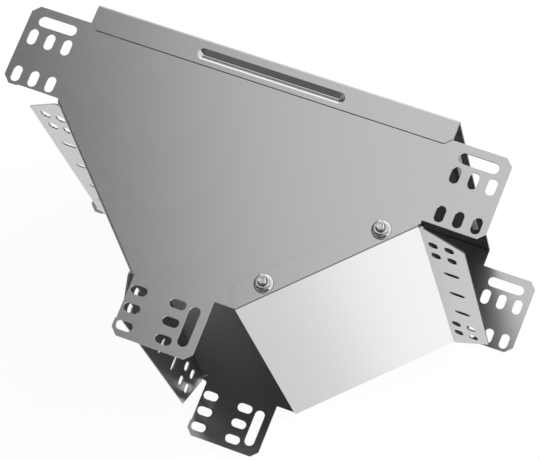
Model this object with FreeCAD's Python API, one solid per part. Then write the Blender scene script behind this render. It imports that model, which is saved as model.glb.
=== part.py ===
import FreeCAD, Part
import math
import os

# A vertical tee for a 300 x 80 mm cable tray, folded from zinc-coated sheet. The run passes
# along X, the branch leaves towards -Y, and the open side of the run is closed by a clip-on
# back plate at +Y. The tee lies on one of its two side plates. Millimetres; the origin is the
# bottom centre of the bounding box.

# Sheet
SHEET = 1.0                 # thickness of every folded piece
BEND_IN = 0.6               # inside radius of every fold
FOLD_CLEAR = 0.7            # raw edge of a side plate to the sheet that is folded round it

# Passages
WIDTH = 301.0               # over the outer faces of the two side plates
HALF_RUN = 140.3            # middle of the tee to the shoulder at a run end
RUN_DEPTH = 79.7            # outer face of the back plate to the start of the 45 degree corners
LEG = 100.3                 # each leg of the 45 degree corners

# Coupling lugs of the side plates
LUG_LEN = 45.9              # past the shoulder
LUG_W = 62.3
LUG_FROM_BOTTOM = 2.6       # from the tray's bottom side to the lug
LUG_CHAMFER = 5.3

# Punched slots, one punch for all the short ones
SLOT_L = 12.4
SLOT_W = 7.0
SLOT_FIRST = 8.4            # lug end to its first column of slots
SLOT_PITCH = 13.54
SLOT_COLUMNS = 3
ROW_IN = 8.5                # lug's bottom edge to its first row of slots
ROW_PITCH = 30.0
LONG_SLOT_L = 30.2
LONG_SLOT_W = 8.1
LONG_FROM_END = 22.9        # lug end to the middle of the long slot
LONG_FROM_OPEN = 10.3       # lug's open-side edge to the middle of the long slot

# End flanges, on the bottom side of the tray
END_LEG = 30.4              # past the fold, on the tee body
END_DROP = 1.6              # outer face of the body's end flanges past the plate's corner
END_CUT_IN = 1.65           # where the 45 degree end cut meets the side plate's outer face
END_COLUMN_1 = 7.0          # fold to the first column of slots
END_COLUMN_2 = 19.2
END_ROWS = (89.2, 114.2)    # rows of slots, from the middle of the width
END_SLIT_IN = 15.4          # fold to the middle of the slots that lie along the tray
END_SLIT_PITCH = 50.0
END_SLIT_SIDE = 1           # such slots on each side of the middle one
RELIEF_R = 0.8              # round notch where three folds meet

# Corner plate, bolted on outside the side plates
CORNER_GAP = 0.67           # raw edge of the side plate to the inner face of the corner wall
CORNER_END_LEG = 31.2
CORNER_DROP = 2.45          # outer face of its end flange past the plate's corner
LAP_W = 18.0
LAP_CHAMFER = 7.0

# Back plate with clip-on lips
LIP_W = 19.3
LIP_CHAMFER = 5.0
BACK_HALF = 140.1           # middle of the tee to the end of the back plate
BEAD_W = 8.5                # over the rim of every pressed bead
BEAD_DEPTH = 2.5
BEAD_FLANK = 33.0           # slope of its two flanks, in degrees
LIP_BEAD_L = 114.0
LIP_BEAD_IN = 11.3          # outer face of the back wall to the middle of the lip's bead
BEAD_CLEAR = 0.1            # between a lip's bead and the bead it clips into
WALL_BEAD_L = 207.0
WALL_BEAD_IN = 10.3         # end of the back plate to the middle of the bead across it

# M6 fasteners
BOLT_D = 6.0
BOLT_LEN = 12.0             # under the head
THREAD_CLEAR = 0.1          # between the bolt and the bore of its nut, all round
NECK_H = 0.8
NECK_CLEAR = 0.15
HEAD_D = 12.0
HEAD_CROWN_D = 6.5          # the dome's crown, kept flat
HEAD_H = 2.6
BOLT_HOLE_D = 6.6
BOLT_IN = 8.95              # outer face of the corner wall to the bolts
BOLT_FROM_END = 25.55       # branch end of the corner wall to the first bolt
BOLT_PITCH = 90.0
BOLTS_A_SIDE = 2
NUT_AF = 10.0
NUT_H = 6.0
NUT_FLANGE_D = 14.2
NUT_FLANGE_EDGE = 1.0
NUT_FLANGE_H = 2.5
NUT_TURN = 52.0             # degrees from the run to a corner of the tightened nuts

# Worked out from the sizes above
ROOT2 = math.sqrt(2.0)
BEND_OUT = BEND_IN + SHEET
Y_BACK = (RUN_DEPTH + LEG + LUG_LEN) / 2
Y_CORNER = Y_BACK - RUN_DEPTH
Y_BRANCH = Y_CORNER - LEG
X_BRANCH = HALF_RUN - LEG
Z_LOW = BOLT_LEN - SHEET
Z_HIGH = Z_LOW + WIDTH
Z_MID = (Z_LOW + Z_HIGH) / 2
BEAD_SLOPE = math.radians(BEAD_FLANK)
BEAD_R = ((BEAD_W / 2 * math.sin(BEAD_SLOPE) - BEAD_DEPTH * math.cos(BEAD_SLOPE))
          / (1 - math.cos(BEAD_SLOPE)))
REACH = 5 * SHEET           # how far a punch passes each face of the sheet

X_DIR = FreeCAD.Vector(1, 0, 0)
Y_DIR = FreeCAD.Vector(0, 1, 0)
Z_DIR = FreeCAD.Vector(0, 0, 1)
BODY_ALONG = FreeCAD.Vector(1, -1, 0) / ROOT2      # along the body's corner wall
BODY_INWARD = FreeCAD.Vector(1, 1, 0) / ROOT2
PLATE_ALONG = FreeCAD.Vector(1, 1, 0) / ROOT2      # along the corner plate's wall
PLATE_INWARD = FreeCAD.Vector(-1, 1, 0) / ROOT2

BODY_CORNER = FreeCAD.Vector(-HALF_RUN, Y_CORNER, 0)
# The corner plate's outer face lies this far outside the raw edge of the side plates.
CORNER_OUT = CORNER_GAP + SHEET
CORNER_FOLD = FreeCAD.Vector(
    HALF_RUN + ROOT2 * CORNER_OUT - CORNER_DROP, Y_CORNER - CORNER_DROP, 0)
CORNER_START = FreeCAD.Vector(X_BRANCH, Y_BRANCH, 0) - PLATE_INWARD * CORNER_OUT


def solid_from(outline, sweep):
    """Solid swept from a closed outline of points."""
    face = Part.Face(Part.makePolygon(outline + [outline[0]]))
    return face.extrude(sweep)


def folded_sheet(path, place, sweep):
    """Sheet folded along path, swept sideways.

    The path is a list of flat (a, b) corners on one face of the sheet, which lies on the left
    of the path. place(a, b) gives the point in space.
    """
    near = [[path[0]]]
    first = unit(path[0], path[1])
    far = [[shift(path[0], left_of(first), SHEET)]]
    for before, corner, after in zip(path, path[1:], path[2:]):
        arrive = unit(before, corner)
        leave = unit(corner, after)
        cross = arrive[0] * leave[1] - arrive[1] * leave[0]
        turn = math.asin(abs(cross))
        if arrive[0] * leave[0] + arrive[1] * leave[1] < -1e-9:
            turn = math.pi - turn
        side = 1 if cross > 0 else -1
        near_r = BEND_OUT if side > 0 else BEND_IN
        far_r = BEND_IN if side > 0 else BEND_OUT
        back = near_r * math.tan(turn / 2)
        start = shift(corner, arrive, -back)
        centre = shift(start, left_of(arrive), side * near_r)
        to_corner = unit(centre, corner)
        end = shift(corner, leave, back)
        near.append([start, shift(centre, to_corner, near_r), end])
        far.append([shift(start, left_of(arrive), SHEET), shift(centre, to_corner, far_r),
                    shift(end, left_of(leave), SHEET)])
    last = unit(path[-2], path[-1])
    near.append([path[-1]])
    far.append([shift(path[-1], left_of(last), SHEET)])
    runs = near + [run[::-1] for run in far[::-1]]
    edges = []
    for run, following in zip(runs, runs[1:] + runs[:1]):
        points = [place(*point) for point in run]
        if len(points) == 3:
            edges.append(Part.Arc(*points).toShape())
        edges.append(Part.LineSegment(points[-1], place(*following[0])).toShape())
    return Part.Face(Part.Wire(edges)).extrude(sweep)


def unit(start, end):
    length = math.hypot(end[0] - start[0], end[1] - start[1])
    return ((end[0] - start[0]) / length, (end[1] - start[1]) / length)


def left_of(direction):
    return (-direction[1], direction[0])


def shift(point, direction, distance):
    return (point[0] + direction[0] * distance, point[1] + direction[1] * distance)


def slot_punch(centre, along, normal, length, width):
    """Round-ended punch through a sheet that faces along normal."""
    base = centre - normal * REACH
    side = normal.cross(along) * (width / 2)
    ahead = base + along * ((length - width) / 2)
    behind = base - along * ((length - width) / 2)
    tip = along * (width / 2)
    edges = [
        Part.LineSegment(behind - side, ahead - side).toShape(),
        Part.Arc(ahead - side, ahead + tip, ahead + side).toShape(),
        Part.LineSegment(ahead + side, behind + side).toShape(),
        Part.Arc(behind + side, behind - tip, behind - side).toShape(),
    ]
    return Part.Face(Part.Wire(edges)).extrude(normal * 2 * REACH)


def bead_form(rim, along, inward, half, spare, top):
    """Long form with round ends: a bead's hollow, grown all round by spare, cut off at top.

    rim is the middle of the bead between its rims, and half the way from there to the centre of
    each round end. Depths are measured from the rim, and top is the depth of the form's flat side.
    """
    radius = BEAD_R + spare
    bottom = BEAD_DEPTH + spare
    edge = BEAD_W / 2 + spare / math.sin(BEAD_SLOPE) - top / math.tan(BEAD_SLOPE)

    def half_section(centre, out):
        def at(across, depth):
            return centre + out * across + inward * depth

        def on_round(angle):
            return at(radius * math.sin(angle), bottom - radius * (1 - math.cos(angle)))

        foot = on_round(BEAD_SLOPE)
        edges = [Part.Arc(on_round(0), on_round(BEAD_SLOPE / 2), foot).toShape(),
                 Part.LineSegment(foot, at(edge, top)).toShape()]
        return edges, on_round(0), at(edge, top), at(0, top)

    side = inward.cross(along)
    start = rim - along * half
    right, _, right_top, _ = half_section(start, side)
    left, _, left_top, _ = half_section(start, side * -1)
    lid = Part.LineSegment(right_top, left_top).toShape()
    form = Part.Face(Part.Wire(right + [lid] + left[::-1])).extrude(along * 2 * half)
    for way in (-1, 1):
        centre = rim + along * half * way
        edges, deepest, edge_top, axis_top = half_section(centre, side * -way)
        edges.append(Part.LineSegment(edge_top, axis_top).toShape())
        edges.append(Part.LineSegment(axis_top, deepest).toShape())
        form = form.fuse(Part.Face(Part.Wire(edges)).revolve(centre, inward, 180))
    return form.removeSplitter()


def press_bead(sheet, rim, along, inward, length, spare, depth):
    """Press a bead with sloping flanks and a round bottom into a sheet.

    rim is the middle of the bead between its rims, along its direction and inward the way it is
    pressed. spare is how far the sheet's outer face keeps off that bead, and depth how far the
    flat sheet lies inward of its rim.
    """
    half = (length - BEAD_W) / 2
    hollow = bead_form(rim, along, inward, half, spare, depth - SHEET / 2)
    bulge = bead_form(rim, along, inward, half, spare + SHEET, depth + SHEET / 2)
    return sheet.fuse(bulge).cut(hollow)


def lug_outline(root_low, root_high, out):
    """Four free corners of a lug whose root runs from root_low to root_high."""
    along = (root_high - root_low).normalize()
    tip_low = root_low + out * LUG_LEN
    tip_high = root_high + out * LUG_LEN
    return [tip_low - out * LUG_CHAMFER, tip_low + along * LUG_CHAMFER,
            tip_high - along * LUG_CHAMFER, tip_high - out * LUG_CHAMFER]


def lug_frames():
    """Root corner on the tray's bottom side, direction towards the open side, way out."""
    run_y = Y_CORNER + LUG_FROM_BOTTOM
    branch_x = -X_BRANCH + LUG_FROM_BOTTOM
    return [
        (FreeCAD.Vector(-HALF_RUN, run_y, 0), Y_DIR, X_DIR * -1),
        (FreeCAD.Vector(HALF_RUN, run_y, 0), Y_DIR, X_DIR),
        (FreeCAD.Vector(branch_x, Y_BRANCH, 0), X_DIR, Y_DIR * -1),
    ]


def plate_outline():
    """Flat part of a side plate, from the tangent of its one fold."""
    flat = ROOT2 * BEND_OUT
    top = Y_BACK - SHEET - FOLD_CLEAR
    outline = [FreeCAD.Vector(-HALF_RUN, Y_CORNER + flat, 0)]
    frames = lug_frames()
    for index in (0, 1):
        root, up, out = frames[index]
        high = root + up * LUG_W
        lug = [root] + lug_outline(root, high, out) + [high]
        shoulder = FreeCAD.Vector(root.x, top, 0)
        outline += lug + [shoulder] if index == 0 else [shoulder] + lug[::-1]
    outline += [FreeCAD.Vector(HALF_RUN, Y_CORNER, 0), FreeCAD.Vector(X_BRANCH, Y_BRANCH, 0)]
    root, up, out = frames[2]
    high = root + up * LUG_W
    outline += [high] + lug_outline(root, high, out)[::-1] + [root]
    outline.append(FreeCAD.Vector(-X_BRANCH + flat, Y_BRANCH, 0))
    return outline


def lug_punches():
    """All the slots of the three lugs, through both side plates at once."""
    punches = []
    for root, up, out in lug_frames():
        tip = root + out * LUG_LEN
        for column in range(SLOT_COLUMNS):
            for row in range(2):
                centre = (tip - out * (SLOT_FIRST + column * SLOT_PITCH)
                          + up * (ROW_IN + row * ROW_PITCH))
                punches.append((centre, up, SLOT_L, SLOT_W))
        centre = tip - out * LONG_FROM_END + up * (LUG_W - LONG_FROM_OPEN)
        punches.append((centre, out, LONG_SLOT_L, LONG_SLOT_W))
    tools = []
    for centre, along, length, width in punches:
        for z in (Z_LOW, Z_HIGH):
            tools.append(slot_punch(centre + Z_DIR * z, along, Z_DIR, length, width))
    return tools


def end_flange_tools(fold, out, normal, leg):
    """Slots and 45 degree end cuts of an end flange.

    fold is the point where its outer face meets the corner wall's outer face.
    """
    tools = []
    for side in (-1, 1):
        for row in END_ROWS:
            for column in (END_COLUMN_1, END_COLUMN_2):
                centre = fold + out * column + Z_DIR * (Z_MID + side * row)
                tools.append(slot_punch(centre, Z_DIR, normal, SLOT_L, SLOT_W))
        plate_z = Z_MID + side * WIDTH / 2
        over = leg + REACH
        start = fold + out * (END_CUT_IN - REACH) + Z_DIR * (plate_z + side * REACH)
        far_high = fold + out * over + Z_DIR * (plate_z + side * REACH)
        far_low = fold + out * over + Z_DIR * (plate_z - side * (over - END_CUT_IN))
        wedge = solid_from([start, far_low, far_high], normal * 2 * REACH)
        wedge.translate(normal * -REACH)
        tools.append(wedge)
    for step in range(-END_SLIT_SIDE, END_SLIT_SIDE + 1):
        centre = fold + out * END_SLIT_IN + Z_DIR * (Z_MID + step * END_SLIT_PITCH)
        tools.append(slot_punch(centre, out, normal, SLOT_L, SLOT_W))
    return tools


def relief_tools(fold, inward, low, high):
    """Round notches at the two ends of a wall's end fold, low and high in z."""
    tools = []
    for z in (low, high):
        start = fold - inward * REACH + Z_DIR * z
        tools.append(Part.makeCylinder(RELIEF_R, 2 * REACH, start, inward))
    return tools


def tee_body():
    """Two side plates with their lugs, one corner wall and its two end flanges, in one sheet."""
    outline = plate_outline()
    top = solid_from(outline, Z_DIR * SHEET)
    low = top.translated(Z_DIR * Z_LOW)
    high = top.translated(Z_DIR * (Z_HIGH - SHEET))

    past = 2 * BEND_OUT
    start = BODY_CORNER - BODY_ALONG * past
    tail = BEND_OUT + SHEET
    profile = [(tail, Z_HIGH), (0, Z_HIGH), (0, Z_LOW), (tail, Z_LOW)]

    def across_wall(a, b):
        return start + BODY_INWARD * a + Z_DIR * b

    channel = folded_sheet(profile, across_wall, BODY_ALONG * (ROOT2 * LEG + 2 * past))
    shoulders = Part.makeBox(
        HALF_RUN, LEG + past, WIDTH, FreeCAD.Vector(-HALF_RUN, Y_BRANCH, Z_LOW))
    channel = channel.common(shoulders)

    run_fold = BODY_CORNER + BODY_ALONG * ROOT2 * END_DROP
    branch_fold = BODY_CORNER + BODY_ALONG * ROOT2 * (LEG - END_DROP)
    wall_low = Z_LOW + BEND_OUT
    wall_high = Z_HIGH - BEND_OUT
    for fold, way in ((run_fold, -1), (branch_fold, 1)):
        block = [fold - BODY_INWARD * REACH, fold + BODY_INWARD * REACH]
        block += [point + BODY_ALONG * way * LEG for point in block[::-1]]
        window = solid_from(block, Z_DIR * (wall_high - wall_low))
        channel = channel.cut(window.translated(Z_DIR * wall_low))

    path = [(run_fold.x - END_LEG, run_fold.y), (run_fold.x, run_fold.y),
            (branch_fold.x, branch_fold.y), (branch_fold.x, branch_fold.y - END_LEG)]

    def level(a, b):
        return FreeCAD.Vector(a, b, wall_low)

    wall = folded_sheet(path, level, Z_DIR * (wall_high - wall_low))
    tools = end_flange_tools(run_fold, X_DIR * -1, Y_DIR, END_LEG)
    tools += end_flange_tools(branch_fold, Y_DIR * -1, X_DIR, END_LEG)
    for fold in (run_fold, branch_fold):
        tools += relief_tools(fold, BODY_INWARD, wall_low, wall_high)
    tools += lug_punches()
    tools += neck_holes()

    body = low.fuse([high, channel, wall]).removeSplitter()
    body = body.cut(tools)
    for rim, inward in lip_beads():
        body = press_bead(body, rim, X_DIR, inward, LIP_BEAD_L, SHEET + BEAD_CLEAR, SHEET)
    return body


def lip_beads():
    """Middle of each lip's bead, on the lip's outer face, and the way it is pressed."""
    middle = FreeCAD.Vector(0, Y_BACK - LIP_BEAD_IN, Z_MID)
    rise = Z_DIR * (WIDTH / 2 + SHEET)
    return [(middle - rise, Z_DIR), (middle + rise, Z_DIR * -1)]


def corner_plate():
    """Second corner wall, lapped over the side plates and bolted, with its own end flange."""
    low = Z_LOW - SHEET
    high = Z_HIGH + SHEET
    wall = (CORNER_FOLD - CORNER_START).Length
    profile = [(LAP_W, high), (0, high), (0, low), (LAP_W, low)]

    def across_wall(a, b):
        return CORNER_START + PLATE_INWARD * a + Z_DIR * b

    channel = folded_sheet(profile, across_wall, PLATE_ALONG * wall)

    wall_low = low + BEND_OUT
    wall_high = high - BEND_OUT
    path = [(CORNER_START.x, CORNER_START.y), (CORNER_FOLD.x, CORNER_FOLD.y),
            (CORNER_FOLD.x + CORNER_END_LEG, CORNER_FOLD.y)]

    def level(a, b):
        return FreeCAD.Vector(a, b, wall_low)

    flange = folded_sheet(path, level, Z_DIR * (wall_high - wall_low))
    tools = end_flange_tools(CORNER_FOLD, X_DIR, Y_DIR, CORNER_END_LEG)
    tools += relief_tools(CORNER_FOLD, PLATE_INWARD, wall_low, wall_high)
    edge = CORNER_START + PLATE_INWARD * LAP_W
    for end, way in ((edge, 1), (edge + PLATE_ALONG * wall, -1)):
        triangle = [end, end + PLATE_ALONG * way * LAP_CHAMFER, end - PLATE_INWARD * LAP_CHAMFER]
        tools.append(solid_from(triangle, Z_DIR * (high + REACH)))
    for point in bolt_places():
        tools.append(Part.makeCylinder(BOLT_HOLE_D / 2, high + REACH, point, Z_DIR))
    return channel.fuse(flange).removeSplitter().cut(tools)


def back_plate():
    """Clip-on plate that closes the open side of the run, with a pressed bead in each lip."""
    low = Z_LOW - SHEET
    high = Z_HIGH + SHEET
    front = Y_BACK - LIP_W
    profile = [(front, low), (Y_BACK, low), (Y_BACK, high), (front, high)]

    def across_plate(a, b):
        return FreeCAD.Vector(-BACK_HALF, a, b)

    plate = folded_sheet(profile, across_plate, X_DIR * 2 * BACK_HALF)
    tools = []
    for way in (-1, 1):
        end = FreeCAD.Vector(way * BACK_HALF, front, 0)
        triangle = [end, end - X_DIR * way * LIP_CHAMFER, end + Y_DIR * LIP_CHAMFER]
        tools.append(solid_from(triangle, Z_DIR * (high + REACH)))
    plate = plate.cut(tools)
    for rim, inward in lip_beads():
        plate = press_bead(plate, rim, X_DIR, inward, LIP_BEAD_L, 0, 0)
    for way in (-1, 1):
        rim = FreeCAD.Vector(way * (BACK_HALF - WALL_BEAD_IN), Y_BACK, Z_MID)
        plate = press_bead(plate, rim, Z_DIR, Y_DIR * -1, WALL_BEAD_L, 0, 0)
    return plate


def bolt_places():
    """Bolt centres on the floor plan."""
    first = CORNER_START + PLATE_INWARD * BOLT_IN + PLATE_ALONG * BOLT_FROM_END
    return [first + PLATE_ALONG * BOLT_PITCH * index for index in range(BOLTS_A_SIDE)]


def neck_holes():
    """Square holes in both side plates, in line with the corner wall."""
    half = (BOLT_D + 2 * NECK_CLEAR) / 2
    tools = []
    for point in bolt_places():
        corners = [point + PLATE_ALONG * a * half + PLATE_INWARD * b * half
                   for a, b in ((-1, -1), (1, -1), (1, 1), (-1, 1))]
        for z in (Z_LOW, Z_HIGH):
            prism = solid_from(corners, Z_DIR * 2 * REACH)
            tools.append(prism.translated(Z_DIR * (z - REACH)))
    return tools


def bolt():
    """Cup-head square-neck bolt along +Z, its head's flat face at z = 0."""
    radius = (BOLT_D - THREAD_CLEAR) / 2
    turned = revolved([(0, -HEAD_H), (HEAD_CROWN_D / 2, -HEAD_H), (HEAD_D / 2, 0), (radius, 0),
                       (radius, BOLT_LEN), (0, BOLT_LEN)])
    neck = Part.makeBox(BOLT_D, BOLT_D, NECK_H, FreeCAD.Vector(-BOLT_D / 2, -BOLT_D / 2, 0))
    return turned.fuse(neck)


def nut():
    """Hexagon nut with a conical flange, standing on z = 0."""
    corner = NUT_AF / math.sqrt(3.0)
    outline = [FreeCAD.Vector(corner * math.cos(math.radians(60 * i)),
                              corner * math.sin(math.radians(60 * i)), 0) for i in range(6)]
    hexagon = solid_from(outline, Z_DIR * NUT_H)
    flange = revolved([(0, 0), (NUT_FLANGE_D / 2, 0), (NUT_FLANGE_D / 2, NUT_FLANGE_EDGE),
                       (corner, NUT_FLANGE_H), (0, NUT_FLANGE_H)])
    bore = Part.makeCylinder((BOLT_D + THREAD_CLEAR) / 2, NUT_H)
    return hexagon.fuse(flange).cut(bore)


def revolved(outline):
    """Turned solid from (radius, height) points."""
    points = [FreeCAD.Vector(radius, 0, height) for radius, height in outline]
    face = Part.Face(Part.makePolygon(points + [points[0]]))
    return face.revolve(FreeCAD.Vector(0, 0, 0), Z_DIR, 360)


def fastened(piece, offset, turn):
    """Copies of a fastener at every bolt place, offset from the inner face of the plate."""
    copies = []
    for point in bolt_places():
        upper = piece.copy()
        upper.rotate(FreeCAD.Vector(0, 0, 0), Z_DIR, turn)
        upper.translate(point + Z_DIR * (Z_HIGH - SHEET + offset))
        copies.append(upper)
        lower = upper.mirror(FreeCAD.Vector(0, 0, Z_MID), Z_DIR)
        copies.append(lower)
    return Part.makeCompound(copies)


def main():
    os.makedirs("parts", exist_ok=True)
    pieces = {
        "tee_body": tee_body(),
        "corner_plate": corner_plate(),
        "back_plate": back_plate(),
        "corner_bolts": fastened(bolt(), 0, 45),
        "corner_nuts": fastened(nut(), 2 * SHEET, NUT_TURN),
    }
    for name, shape in pieces.items():
        shape.exportStep(f"parts/{name}.step")
        box = shape.BoundBox
        print(f"{name}: {len(shape.Solids)} solids, {shape.Volume / 1000:.2f} cm3, "
              f"x {box.XMin:.2f}..{box.XMax:.2f}, y {box.YMin:.2f}..{box.YMax:.2f}, "
              f"z {box.ZMin:.2f}..{box.ZMax:.2f}, valid {shape.isValid()}")


main()
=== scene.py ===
import math

import bmesh
import bpy
from mathutils import Matrix, Vector


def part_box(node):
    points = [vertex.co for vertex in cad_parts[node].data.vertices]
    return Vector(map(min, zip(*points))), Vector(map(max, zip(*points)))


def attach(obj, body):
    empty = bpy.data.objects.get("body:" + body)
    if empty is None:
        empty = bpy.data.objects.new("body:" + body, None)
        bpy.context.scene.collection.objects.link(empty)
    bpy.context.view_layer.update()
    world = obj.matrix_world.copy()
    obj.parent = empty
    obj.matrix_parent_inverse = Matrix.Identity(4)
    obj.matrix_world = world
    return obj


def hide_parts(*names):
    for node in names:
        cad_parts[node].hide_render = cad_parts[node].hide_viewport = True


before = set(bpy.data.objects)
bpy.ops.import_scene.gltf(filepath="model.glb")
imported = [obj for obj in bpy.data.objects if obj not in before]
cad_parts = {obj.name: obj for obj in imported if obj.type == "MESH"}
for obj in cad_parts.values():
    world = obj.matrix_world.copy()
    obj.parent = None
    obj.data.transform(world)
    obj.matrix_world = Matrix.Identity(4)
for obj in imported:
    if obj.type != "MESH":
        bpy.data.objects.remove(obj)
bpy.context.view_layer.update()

MM = 0.001

# Camera, in the part's own frame
CAMERA_AZIMUTH = math.radians(46.29)
CAMERA_ELEVATION = math.radians(70.21)
CAMERA_ROLL = math.radians(25.77)
CAMERA_DISTANCE = 1.86322
CAMERA_LENS = 177.445         # in mm, like the sensor
SENSOR_WIDTH = 36
NEAREST = 0.05                # what the camera takes in
FARTHEST = 30
SIDE_PLATE_TOP = 312 * MM
AIM = Vector((42.27 * MM, -5.62 * MM, SIDE_PLATE_TOP))


def aim_camera():
    """Camera at the photograph's viewing angle."""
    back = Vector((math.sin(CAMERA_AZIMUTH) * math.cos(CAMERA_ELEVATION),
                   -math.cos(CAMERA_AZIMUTH) * math.cos(CAMERA_ELEVATION),
                   math.sin(CAMERA_ELEVATION)))
    level = Vector((0, 0, 1)).cross(back).normalized()
    upright = back.cross(level)
    up = upright * math.cos(CAMERA_ROLL) + level * math.sin(CAMERA_ROLL)
    right = up.cross(back)
    data = bpy.data.cameras.new("camera")
    data.sensor_width = SENSOR_WIDTH
    data.lens = CAMERA_LENS
    data.clip_start = NEAREST
    data.clip_end = FARTHEST
    camera = bpy.data.objects.new("camera", data)
    camera.matrix_world = Matrix((right, up, back)).transposed().to_4x4()
    camera.location = AIM + back * CAMERA_DISTANCE
    bpy.context.scene.collection.objects.link(camera)
    bpy.context.scene.camera = camera


class Nodes:
    """Short way to write a node tree."""

    def __init__(self, tree):
        self.tree = tree
        tree.nodes.clear()

    def add(self, kind, values=None, **settings):
        node = self.tree.nodes.new(kind)
        for name, value in settings.items():
            setattr(node, name, value)
        for socket, value in (values or {}).items():
            if isinstance(value, bpy.types.NodeSocket):
                self.tree.links.new(value, node.inputs[socket])
            else:
                node.inputs[socket].default_value = value
        return node

    def math(self, operation, *values, clamp=False):
        node = self.add("ShaderNodeMath", dict(enumerate(values)), operation=operation,
                        use_clamp=clamp)
        return node.outputs[0]

    def mix(self, share, first, second):
        """Blend of two numbers."""
        return self.add("ShaderNodeMix", {0: share, 2: first, 3: second}).outputs[0]

    def ramp(self, value, low, high, at_low, at_high):
        """Smooth step from at_low to at_high while value goes from low to high."""
        return self.add("ShaderNodeMapRange", {0: value, 1: low, 2: high, 3: at_low, 4: at_high},
                        interpolation_type="SMOOTHSTEP").outputs[0]


# Studio, as metal sees it. One broad soft light hangs on the side of +X and +Y, and the
# sweep under the object is white where it faces the light. A pair of numbers is where a
# change starts and ends. The pairs called HEIGHTS run along +Z.
LIGHT_AZIMUTH = math.radians(45.6)
LIGHT_HEIGHT = math.radians(42.4)
LIGHT_EDGE = 0.601            # cosine of the light's half width
LIGHT_SOFT = 0.027
LIGHT_LEVEL = 0.64
ROOF_SHADE = 0.06
RIM_GAIN = 1.15               # at the foot of the light and the roof
RIM_HEIGHTS = (0.6, 0.9)
WALL_SHADE = 0.16             # added to the roof's shade on the side of -X
WALL_SIDE = (-0.1, 0.8)       # along -X
WALL_FOOT_HEIGHTS = (0.2, 0.32)
WALL_HEAD_HEIGHTS = (0.5, 0.85)
SWEEP_AZIMUTH = math.radians(44)
SWEEP_EDGE = 0.008
SWEEP_SOFT = 0.01
SWEEP_HEIGHTS = (-0.02, 0.0)  # where the sweep ends and the roof begins
HORIZON = 1.35                # just above the lit sweep, on the side of +Y
HORIZON_SIDE = (0.2, 0.6)     # along +Y
HORIZON_HEIGHTS = (0.18, 0.32)
SWEEP_LIT = 1.04
SWEEP_SIDE = 0.8              # the lit sweep where it is seen less steeply
SWEEP_SIDE_HEIGHTS = (-0.85, -0.6)
SWEEP_SHADE = 0.64
SWEEP_FAR = 0.4               # share left of the sweep's light on the far side
SWEEP_FAR_SIDE = (0.0, 0.12)  # along +Y
SWEEP_FAR_HEIGHTS = (-0.6, -0.3)
SECOND_GLANCE = 0.35          # share left after two reflections
LATER_GLANCE = 0.15           # and after three or more


def studio_world():
    """Light that depends on direction alone, and white to the camera."""
    world = bpy.data.worlds.new("studio")
    bpy.context.scene.world = world
    world.use_nodes = True
    n = Nodes(world.node_tree)
    way = n.add("ShaderNodeTexCoord").outputs["Generated"]
    right, far, height = n.add("ShaderNodeSeparateXYZ", {0: way}).outputs
    left = n.math("MULTIPLY", right, -1.0)

    def facing(azimuth, elevation):
        """Cosine of the angle to a direction."""
        toward = (math.cos(elevation) * math.cos(azimuth),
                  math.cos(elevation) * math.sin(azimuth), math.sin(elevation))
        return n.add("ShaderNodeVectorMath", {0: way, 1: toward},
                     operation="DOT_PRODUCT").outputs["Value"]

    roof = n.ramp(facing(LIGHT_AZIMUTH, LIGHT_HEIGHT), LIGHT_EDGE - LIGHT_SOFT,
                  LIGHT_EDGE + LIGHT_SOFT, ROOF_SHADE, LIGHT_LEVEL)
    rim = n.ramp(height, *RIM_HEIGHTS, RIM_GAIN, 1.0)
    lit = n.ramp(facing(SWEEP_AZIMUTH, 0), SWEEP_EDGE - SWEEP_SOFT, SWEEP_EDGE + SWEEP_SOFT,
                 0.0, 1.0)
    band = n.math("MULTIPLY", n.ramp(height, *WALL_FOOT_HEIGHTS, 0.0, 1.0),
                  n.ramp(height, *WALL_HEAD_HEIGHTS, 1.0, 0.0))
    wall = n.math("MULTIPLY", n.ramp(left, *WALL_SIDE, 0.0, WALL_SHADE), band)
    roof = n.math("MAXIMUM", roof, n.math("ADD", wall, ROOF_SHADE))
    haze = n.math("MULTIPLY", lit, n.ramp(height, *HORIZON_HEIGHTS, 1.0, 0.0))
    glow = n.ramp(far, *HORIZON_SIDE, SWEEP_SIDE, HORIZON)
    roof = n.mix(haze, n.math("MULTIPLY", roof, rim), glow)
    bright = n.ramp(height, *SWEEP_SIDE_HEIGHTS, SWEEP_LIT, SWEEP_SIDE)
    sweep = n.mix(lit, SWEEP_SHADE, bright)
    steep = n.ramp(height, *SWEEP_FAR_HEIGHTS, 1.0, 0.0)
    away = n.ramp(far, *SWEEP_FAR_SIDE, 0.0, 1.0 - SWEEP_FAR)
    sweep = n.math("MULTIPLY", sweep, n.math("SUBTRACT", 1.0, n.math("MULTIPLY", steep, away)))
    seen = n.mix(n.ramp(height, *SWEEP_HEIGHTS, 1.0, 0.0), roof, sweep)

    rays = n.add("ShaderNodeLightPath").outputs
    loss = n.math("MULTIPLY", n.math("SUBTRACT", rays["Ray Depth"], 2.0), 1.0 - SECOND_GLANCE)
    fade = n.math("MAXIMUM", n.math("SUBTRACT", 1.0, loss, clamp=True), LATER_GLANCE)
    white = n.math("MAXIMUM", rays["Is Camera Ray"], rays["Is Transmission Ray"])
    level = n.mix(white, n.math("MULTIPLY", seen, fade), 1.0)
    light = n.add("ShaderNodeBackground", {"Color": (1, 1, 1, 1), "Strength": level})
    n.add("ShaderNodeOutputWorld", {"Surface": light.outputs[0]})


# Floor and lamp
FLOOR_HALF = 4.0
FLOOR_DROP = 0.5 * MM         # below the object's foot
PAPER = (0.9, 0.9, 0.9, 1)
FLOOR_GLOW = 1.02
GLOW_SHARE = 0.94             # the rest keeps the object's shadow
LAMP_PLACE = (0.9, 0.6, 1.6)
LAMP_AIM = (0, 0, 0.15)
LAMP_WIDTH = 1.2
LAMP_POWER = 40


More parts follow.
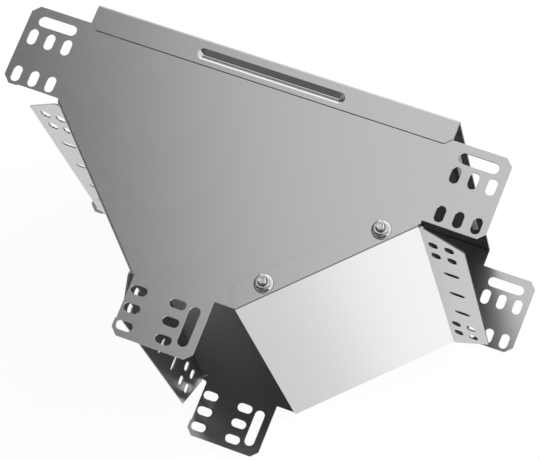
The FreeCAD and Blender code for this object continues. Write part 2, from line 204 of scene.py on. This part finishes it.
def floor_material():
    """White to the camera, with the object's shadow, and clear to what metal reflects."""
    material = bpy.data.materials.new("pale_floor")
    material.use_nodes = True
    n = Nodes(material.node_tree)
    paper = n.add("ShaderNodeBsdfDiffuse", {"Color": PAPER})
    glow = n.add("ShaderNodeEmission", {"Color": (1, 1, 1, 1), "Strength": FLOOR_GLOW})
    clear = n.add("ShaderNodeBsdfTransparent")
    rays = n.add("ShaderNodeLightPath").outputs
    seen = n.math("MAXIMUM", rays["Is Camera Ray"], rays["Is Transmission Ray"])
    share = n.math("MULTIPLY", seen, GLOW_SHARE)
    pale = n.add("ShaderNodeMixShader", {0: share, 1: paper.outputs[0], 2: glow.outputs[0]})
    whole = n.add("ShaderNodeMixShader",
                  {0: rays["Is Glossy Ray"], 1: pale.outputs[0], 2: clear.outputs[0]})
    n.add("ShaderNodeOutputMaterial", {"Surface": whole.outputs[0]})
    return material


def lay_floor():
    half = FLOOR_HALF
    mesh = bpy.data.meshes.new("floor")
    mesh.from_pydata([(-half, -half, 0), (half, -half, 0), (half, half, 0), (-half, half, 0)],
                     [], [(0, 1, 2, 3)])
    floor = bpy.data.objects.new("floor", mesh)
    floor.location.z = -FLOOR_DROP
    mesh.materials.append(floor_material())
    bpy.context.scene.collection.objects.link(floor)


def hang_lamp():
    """Round soft lamp that metal doesn't reflect."""
    data = bpy.data.lights.new("key_lamp", "AREA")
    data.shape = "DISK"
    data.size = LAMP_WIDTH
    data.energy = LAMP_POWER
    lamp = bpy.data.objects.new("key_lamp", data)
    lamp.location = LAMP_PLACE
    way = Vector(LAMP_AIM) - Vector(LAMP_PLACE)
    lamp.rotation_euler = way.to_track_quat("-Z", "Y").to_euler()
    lamp.visible_glossy = False
    bpy.context.scene.collection.objects.link(lamp)


# Zinc coating
SHEET_ZINC = (0.888, 0.887, 0.880)
SHEET_STREAKS = (30, 900, 900)
FASTENER_ZINC = (0.97, 0.97, 0.97)
FASTENER_STREAKS = (90, 90, 90)
SPANGLE_SCALE = 90.0
GRAIN_SCALE = 2600.0
GRAIN_DEPTH = 0.02 * MM
STREAK_SHARE = 0.6            # of the mottle, and the rest is spangle
SPANGLE_SHARE = 0.4
TINT_SPREAD = 0.05
ROUGH_SPREAD = 0.1
ROUGH_MOTTLE = (0.25, 0.75)   # the mottle that the spread of roughness covers

# Cut edges of the end flanges, where the steel under the zinc shows, darkened far below bare steel
# as painted shade in their slots
RUN_FLANGES = (29.5 * MM, 31.8 * MM)       # y of the two flanges at the run's ends
BRANCH_FLANGE = (-38.6 * MM, -37.4 * MM)   # x of the flange at the branch end
BRANCH_FOLD = -69 * MM
FLANGE_HEIGHTS = (13 * MM, 310.8 * MM)
ACROSS = (-0.5, 0.5)          # of a normal, where a face stands across the flange
CUT_SHADE = 0.15

# Painted shade in the recesses of the nuts and bolts, darkest where ambient occlusion finds them
# closed in
GAP_REACH = 3 * MM
GAP_CLOSED = 0.45
GAP_OPEN = 0.78
GAP_SHADE = 0.12


def between(n, value, limits):
    """1 where value lies between the two limits."""
    middle = (limits[0] + limits[1]) / 2
    reach = (limits[1] - limits[0]) / 2
    return n.math("LESS_THAN", n.math("ABSOLUTE", n.math("SUBTRACT", value, middle)), reach)


def bare_steel_and_slot_shade(n):
    """Share of the zinc's colour left on the sheets: little on the end flanges' cut edges, for
    bare steel and for painted shade in the slots.
    """
    seat = n.add("ShaderNodeTexCoord").outputs
    x, y, z = n.add("ShaderNodeSeparateXYZ", {0: seat["Object"]}).outputs
    turned_x, turned_y, _ = n.add("ShaderNodeSeparateXYZ", {0: seat["Normal"]}).outputs
    run = n.math("MULTIPLY", between(n, y, RUN_FLANGES), between(n, turned_y, ACROSS))
    branch = n.math("MULTIPLY", between(n, x, BRANCH_FLANGE), between(n, turned_x, ACROSS))
    branch = n.math("MULTIPLY", branch, n.math("LESS_THAN", y, BRANCH_FOLD))
    cut = n.math("MULTIPLY", n.math("MAXIMUM", run, branch), between(n, z, FLANGE_HEIGHTS))
    return n.mix(cut, 1.0, CUT_SHADE)


def painted_corner_shade(n):
    """Share of the plating's colour left on the nuts and bolts: painted shade, darkest where
    ambient occlusion finds them closed in.
    """
    clear = n.add("ShaderNodeAmbientOcclusion", {"Distance": GAP_REACH}, samples=8).outputs[1]
    return n.ramp(clear, GAP_CLOSED, GAP_OPEN, GAP_SHADE, 1.0)


def zinc(name, colour, roughness, grain, streaks, edge, kept):
    """Zinc-coated steel: faint rolling streaks, soft spangle, a fine grain and worn-round edges.

    edge is the edges' radius, and kept gives the share of the colour left at each place, which
    paints shade into the colour: with bare steel on the sheets' cut edges, and in the fasteners'
    recesses.
    """
    material = bpy.data.materials.new(name)
    material.use_nodes = True
    n = Nodes(material.node_tree)
    place = n.add("ShaderNodeTexCoord").outputs["Object"]
    rolled = n.add("ShaderNodeMapping", {"Vector": place, "Scale": streaks}).outputs[0]
    streak = n.add("ShaderNodeTexNoise", {"Vector": rolled, "Scale": 1.0, "Detail": 4.0,
                                          "Roughness": 0.6}).outputs[0]
    spangle = n.add("ShaderNodeTexNoise", {"Vector": place, "Scale": SPANGLE_SCALE,
                                           "Detail": 3.0, "Roughness": 0.5}).outputs[0]
    fine = n.add("ShaderNodeTexNoise", {"Vector": place, "Scale": GRAIN_SCALE,
                                        "Detail": 2.0, "Roughness": 0.6}).outputs[0]
    mottle = n.math("ADD", n.math("MULTIPLY", streak, STREAK_SHARE),
                    n.math("MULTIPLY", spangle, SPANGLE_SHARE))
    low = tuple(c * (1 - TINT_SPREAD) for c in colour) + (1,)
    high = tuple(min(c * (1 + TINT_SPREAD), 1) for c in colour) + (1,)
    tint = n.add("ShaderNodeMix", {0: mottle, 6: low, 7: high}, data_type="RGBA").outputs[2]
    rough = n.add("ShaderNodeMapRange",
                  {0: mottle, 1: ROUGH_MOTTLE[0], 2: ROUGH_MOTTLE[1],
                   3: roughness * (1 - ROUGH_SPREAD),
                   4: roughness * (1 + ROUGH_SPREAD)}).outputs[0]
    soft = n.add("ShaderNodeBevel", {"Radius": edge}, samples=6).outputs[0]
    bump = n.add("ShaderNodeBump", {"Height": n.math("ADD", fine, streak), "Strength": grain,
                                    "Distance": GRAIN_DEPTH, "Normal": soft}).outputs[0]
    shaded = n.add("ShaderNodeVectorMath", {0: tint, "Scale": kept(n)},
                   operation="SCALE").outputs[0]
    metal = n.add("ShaderNodeBsdfPrincipled", {"Base Color": shaded, "Metallic": 1.0,
                                               "Roughness": rough, "Normal": bump})
    n.add("ShaderNodeOutputMaterial", {"Surface": metal.outputs[0]})
    return material


# Bolts, M6 with a cup head
BOLT_D = 5.9 * MM
BOLT_LENGTH = 12.0 * MM
BOLT_TURNS = 48               # columns round the bolt
THREAD_PITCH = 1.0 * MM
THREAD_DEPTH = 0.45 * MM
THREAD_START = 1.6 * MM
THREAD_ROWS = 8               # in one pitch
GROOVE_SLOPE = 2.6
END_CHAMFER = 0.4 * MM
DIMPLE_D = 3.6 * MM           # in the bolt's end
DIMPLE_H = 0.3 * MM
HEAD_D = 12.0 * MM
HEAD_H = 2.6 * MM
HEAD_EDGE = 0.25 * MM
HEAD_RINGS = 8

# Nuts, M6 with a flange
NUT_AF = 10.0 * MM
NUT_H = 6.0 * MM
NUT_BORE = 6.1 * MM
NUT_TURNS = 96                # columns round the nut
NUT_CORNER = 1.135            # largest radius over the flats' half width
NUT_SLOPE = math.radians(30)  # of the chamfer on top
NUT_FACE = 0.93               # radius of the top's flat ring over the flats' half width
NUT_TURN = math.radians(7)    # from the corner plate's edge to a corner of the nuts
FLANGE_D = 14.2 * MM
FLANGE_EDGE = 1.0 * MM
FLANGE_H = 2.5 * MM
FOOT_CHAMFER = 0.3 * MM
BORE_CHAMFER = 0.5 * MM

# Rounds of the nut, from its foot up
FOOT_ROUND = 0.15 * MM
FLANGE_ROUND = 0.8 * MM
FLAT_ROUND = 0.25 * MM
SHOULDER_ROUND = 0.08 * MM
FACE_ROUND = 0.12 * MM

GUARD = 0.02 * MM             # from a round's end to the next point of its run
SHARP_FOLD = math.radians(32)  # a fold this steep shows as a crisp edge
SAME_PLACE = 1e-7


def ringed(name, columns):
    """Closed mesh from columns of (radius, height), one column for each step of the turn.

    A radius of zero at both ends of a column closes it on the axis. Otherwise it closes on itself.
    """
    turns = len(columns)
    rows = len(columns[0])
    on_axis = columns[0][0][0] == 0
    mesh = bmesh.new()
    grid = []
    for step, column in enumerate(columns):
        angle = 2 * math.pi * step / turns
        grid.append([mesh.verts.new((r * math.cos(angle), r * math.sin(angle), z))
                     for r, z in column])
    for step in range(turns):
        here, there = grid[step], grid[(step + 1) % turns]
        for row in range(rows - 1 if on_axis else rows):
            above = (row + 1) % rows
            mesh.faces.new((here[row], there[row], there[above], here[above]))
    bmesh.ops.remove_doubles(mesh, verts=mesh.verts, dist=SAME_PLACE)
    bmesh.ops.recalc_face_normals(mesh, faces=mesh.faces)
    for face in mesh.faces:
        face.smooth = True
    for edge in mesh.edges:
        edge.smooth = len(edge.link_faces) == 2 and edge.calc_face_angle() < SHARP_FOLD
    data = bpy.data.meshes.new(name)
    mesh.to_mesh(data)
    mesh.free()
    return data


def rounded(corner, before, after, radius, steps):
    """Points of a small round between two runs of a profile.

    One more point on each run, close to the round, keeps the run's own shading flat.
    """
    corner, before, after = Vector(corner), Vector(before), Vector(after)
    back, on = (before - corner).normalized(), (after - corner).normalized()
    start, end = corner + back * radius, corner + on * radius
    points = [tuple(start + back * GUARD)]
    for step in range(steps + 1):
        t = step / steps
        points.append(tuple(start.lerp(corner, t).lerp(corner.lerp(end, t), t)))
    points.append(tuple(end + on * GUARD))
    return points


def nut_shape():
    """Hexagon nut with a conical flange, standing on z = 0."""
    bore = NUT_BORE / 2
    flange = FLANGE_D / 2
    flat = NUT_AF / 2
    face = flat * NUT_FACE
    slope = (FLANGE_H - FLANGE_EDGE) / (flange - flat)
    columns = []
    for step in range(NUT_TURNS):
        angle = math.radians(360 * step / NUT_TURNS)
        off_flat = (angle % math.radians(60)) - math.radians(30)
        side = min(flat / math.cos(off_flat), flat * NUT_CORNER)
        cone = FLANGE_EDGE + (flange - side) * slope
        shoulder = NUT_H - (side - face) * math.tan(NUT_SLOPE)
        columns.append(
            [(bore + FOOT_CHAMFER, 0)]
            + rounded((flange, 0), (bore, 0), (flange, FLANGE_EDGE), FOOT_ROUND, 2)
            + rounded((flange, FLANGE_EDGE), (flange, 0), (side, cone), FLANGE_ROUND, 6)
            + rounded((side, cone), (flange, FLANGE_EDGE), (side, shoulder), FLAT_ROUND, 4)
            + rounded((side, shoulder), (side, cone), (face, NUT_H), SHOULDER_ROUND, 2)
            + rounded((face, NUT_H), (side, shoulder), (bore, NUT_H), FACE_ROUND, 2)
            + [(bore + BORE_CHAMFER, NUT_H), (bore, NUT_H - BORE_CHAMFER), (bore, FOOT_CHAMFER)])
    return ringed("flange_nut", columns)


def bolt_shape():
    """Cup-head bolt along +Z with a rolled thread, its head's flat face at z = 0."""
    radius = BOLT_D / 2
    head = HEAD_D / 2
    ball = (head ** 2 + HEAD_H ** 2) / (2 * HEAD_H)
    spread = math.asin(head / ball)
    dome = [(ball * math.sin(spread * ring / HEAD_RINGS),
             ball - HEAD_H - ball * math.cos(spread * ring / HEAD_RINGS))
            for ring in range(HEAD_RINGS)]
    dome += rounded((head, 0), dome[-1], (radius, 0), HEAD_EDGE, 3)
    rows = round((BOLT_LENGTH - THREAD_START) / THREAD_PITCH * THREAD_ROWS)
    columns = []
    for step in range(BOLT_TURNS):
        column = list(dome) + [(radius, 0), (radius, THREAD_START * 0.5)]
        for row in range(rows + 1):
            height = THREAD_START + (BOLT_LENGTH - THREAD_START) * row / rows
            phase = (height / THREAD_PITCH - step / BOLT_TURNS) % 1.0
            groove = max(0.0, 1.0 - abs(phase - 0.5) * GROOVE_SLOPE)
            run_in = min(1.0, (height - THREAD_START) / THREAD_PITCH)
            left = BOLT_LENGTH - height
            crest = min(radius, radius - END_CHAMFER + left)
            column.append((min(crest, radius - THREAD_DEPTH * groove * run_in), height))
        column += [(DIMPLE_D / 2, BOLT_LENGTH), (DIMPLE_D / 2 - DIMPLE_H, BOLT_LENGTH - DIMPLE_H),
                   (0, BOLT_LENGTH - DIMPLE_H)]
        columns.append(column)
    return ringed("cup_bolt", columns)


def corner_row():
    """Tree that sets a fastener along both edges of the corner plate."""
    tree = bpy.data.node_groups.new("corner_row", "GeometryNodeTree")
    face = tree.interface
    sizes = {}
    for label, kind, side in (("Geometry", "NodeSocketGeometry", "INPUT"),
                              ("Count", "NodeSocketInt", "INPUT"),
                              ("First", "NodeSocketVector", "INPUT"),
                              ("Step", "NodeSocketVector", "INPUT"),
                              ("Rise", "NodeSocketVector", "INPUT"),
                              ("Turn", "NodeSocketVector", "INPUT"),
                              ("Flip", "NodeSocketVector", "INPUT"),
                              ("Finish", "NodeSocketMaterial", "INPUT"),
                              ("Geometry", "NodeSocketGeometry", "OUTPUT")):
        socket = face.new_socket(name=label, in_out=side, socket_type=kind)
        if side == "INPUT":
            sizes[label] = socket.identifier
    n = Nodes(tree)
    given = n.add("NodeGroupInput").outputs
    upper_start = n.add("ShaderNodeVectorMath", {0: given["First"], 1: given["Rise"]},
                        operation="ADD").outputs[0]
    lower_start = n.add("ShaderNodeVectorMath", {0: given["First"], 1: given["Rise"]},
                        operation="SUBTRACT").outputs[0]
    rows = []
    for start, turn in ((upper_start, given["Turn"]), (lower_start, given["Flip"])):
        line = n.add("GeometryNodeMeshLine", {"Count": given["Count"], "Start Location": start,
                                              "Offset": given["Step"]}).outputs[0]
        placed = n.add("GeometryNodeInstanceOnPoints",
                       {"Points": line, "Instance": given["Geometry"]})
        spin = n.add("FunctionNodeEulerToRotation", {0: turn}).outputs[0]
        tree.links.new(spin, placed.inputs["Rotation"])
        rows.append(placed.outputs[0])
    both = n.add("GeometryNodeJoinGeometry")
    for row in rows:
        tree.links.new(row, both.inputs[0])
    real = n.add("GeometryNodeRealizeInstances", {0: both.outputs[0]}).outputs[0]
    done = n.add("GeometryNodeSetMaterial", {"Geometry": real, "Material": given["Finish"]})
    n.add("NodeGroupOutput", {0: done.outputs[0]})
    return tree, sizes


def set_fasteners(name, shape, node, inset, seat, twist, material):
    """Put a fastener at every place of a CAD node and let it stand for that node.

    inset is the piece's largest radius, seat how far its z = 0 lies below the node's top, and
    twist its turn from the corner plate's edge.
    """
    low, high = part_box(node)
    first = Vector((low.x + inset, low.y + inset, (low.z + high.z) / 2))
    last = Vector((high.x - inset, high.y - inset, first.z))
    along = (last - first).normalized()
    rise = Vector((0, 0, (high.z - low.z) / 2 - seat))
    turn = Matrix.Rotation(math.atan2(along.y, along.x) + twist, 4, "Z")
    flip = turn @ Matrix.Rotation(math.pi, 4, "X")
    carrier = bpy.data.objects.new(name + "_shape", shape)
    bpy.context.scene.collection.objects.link(carrier)
    tree, sizes = corner_row()
    row = carrier.modifiers.new("corner_row", "NODES")
    row.node_group = tree
    given = {"Count": 2, "First": first, "Step": last - first, "Rise": rise,
             "Turn": Vector(turn.to_euler()), "Flip": Vector(flip.to_euler()),
             "Finish": material}
    for label, value in given.items():
        row[sizes[label]] = value
    evaluated = carrier.evaluated_get(bpy.context.evaluated_depsgraph_get())
    mesh = bpy.data.meshes.new_from_object(evaluated)
    mesh.name = name
    piece = bpy.data.objects.new(name, mesh)
    bpy.context.scene.collection.objects.link(piece)
    bpy.data.objects.remove(carrier)
    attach(piece, "root")
    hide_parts(node)


def finish_node(name, material):
    """Give a CAD node its material."""
    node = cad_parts[name]
    node.data.materials.clear()
    node.data.materials.append(material)


aim_camera()
studio_world()
lay_floor()
hang_lamp()

# The sheets' colour carries bare steel and painted shade on the end flanges' cut edges.
sheet = zinc("zinc_coated_sheet", SHEET_ZINC, roughness=0.20, grain=0.1,
             streaks=SHEET_STREAKS, edge=0.25 * MM, kept=bare_steel_and_slot_shade)
# The fasteners' colour carries painted shade in their recesses.
fastener = zinc("zinc_plated_fastener", FASTENER_ZINC, roughness=0.15, grain=0.08,
                streaks=FASTENER_STREAKS, edge=0.1 * MM, kept=painted_corner_shade)
for node in ("tee_body", "corner_plate", "back_plate"):
    finish_node(node, sheet)
set_fasteners("flange_nuts", nut_shape(), "corner_nuts", FLANGE_D / 2, NUT_H, NUT_TURN, fastener)
set_fasteners("cup_bolts", bolt_shape(), "corner_bolts", HEAD_D / 2, BOLT_LENGTH, 0, fastener)

bpy.context.scene.view_settings.view_transform = "Standard"
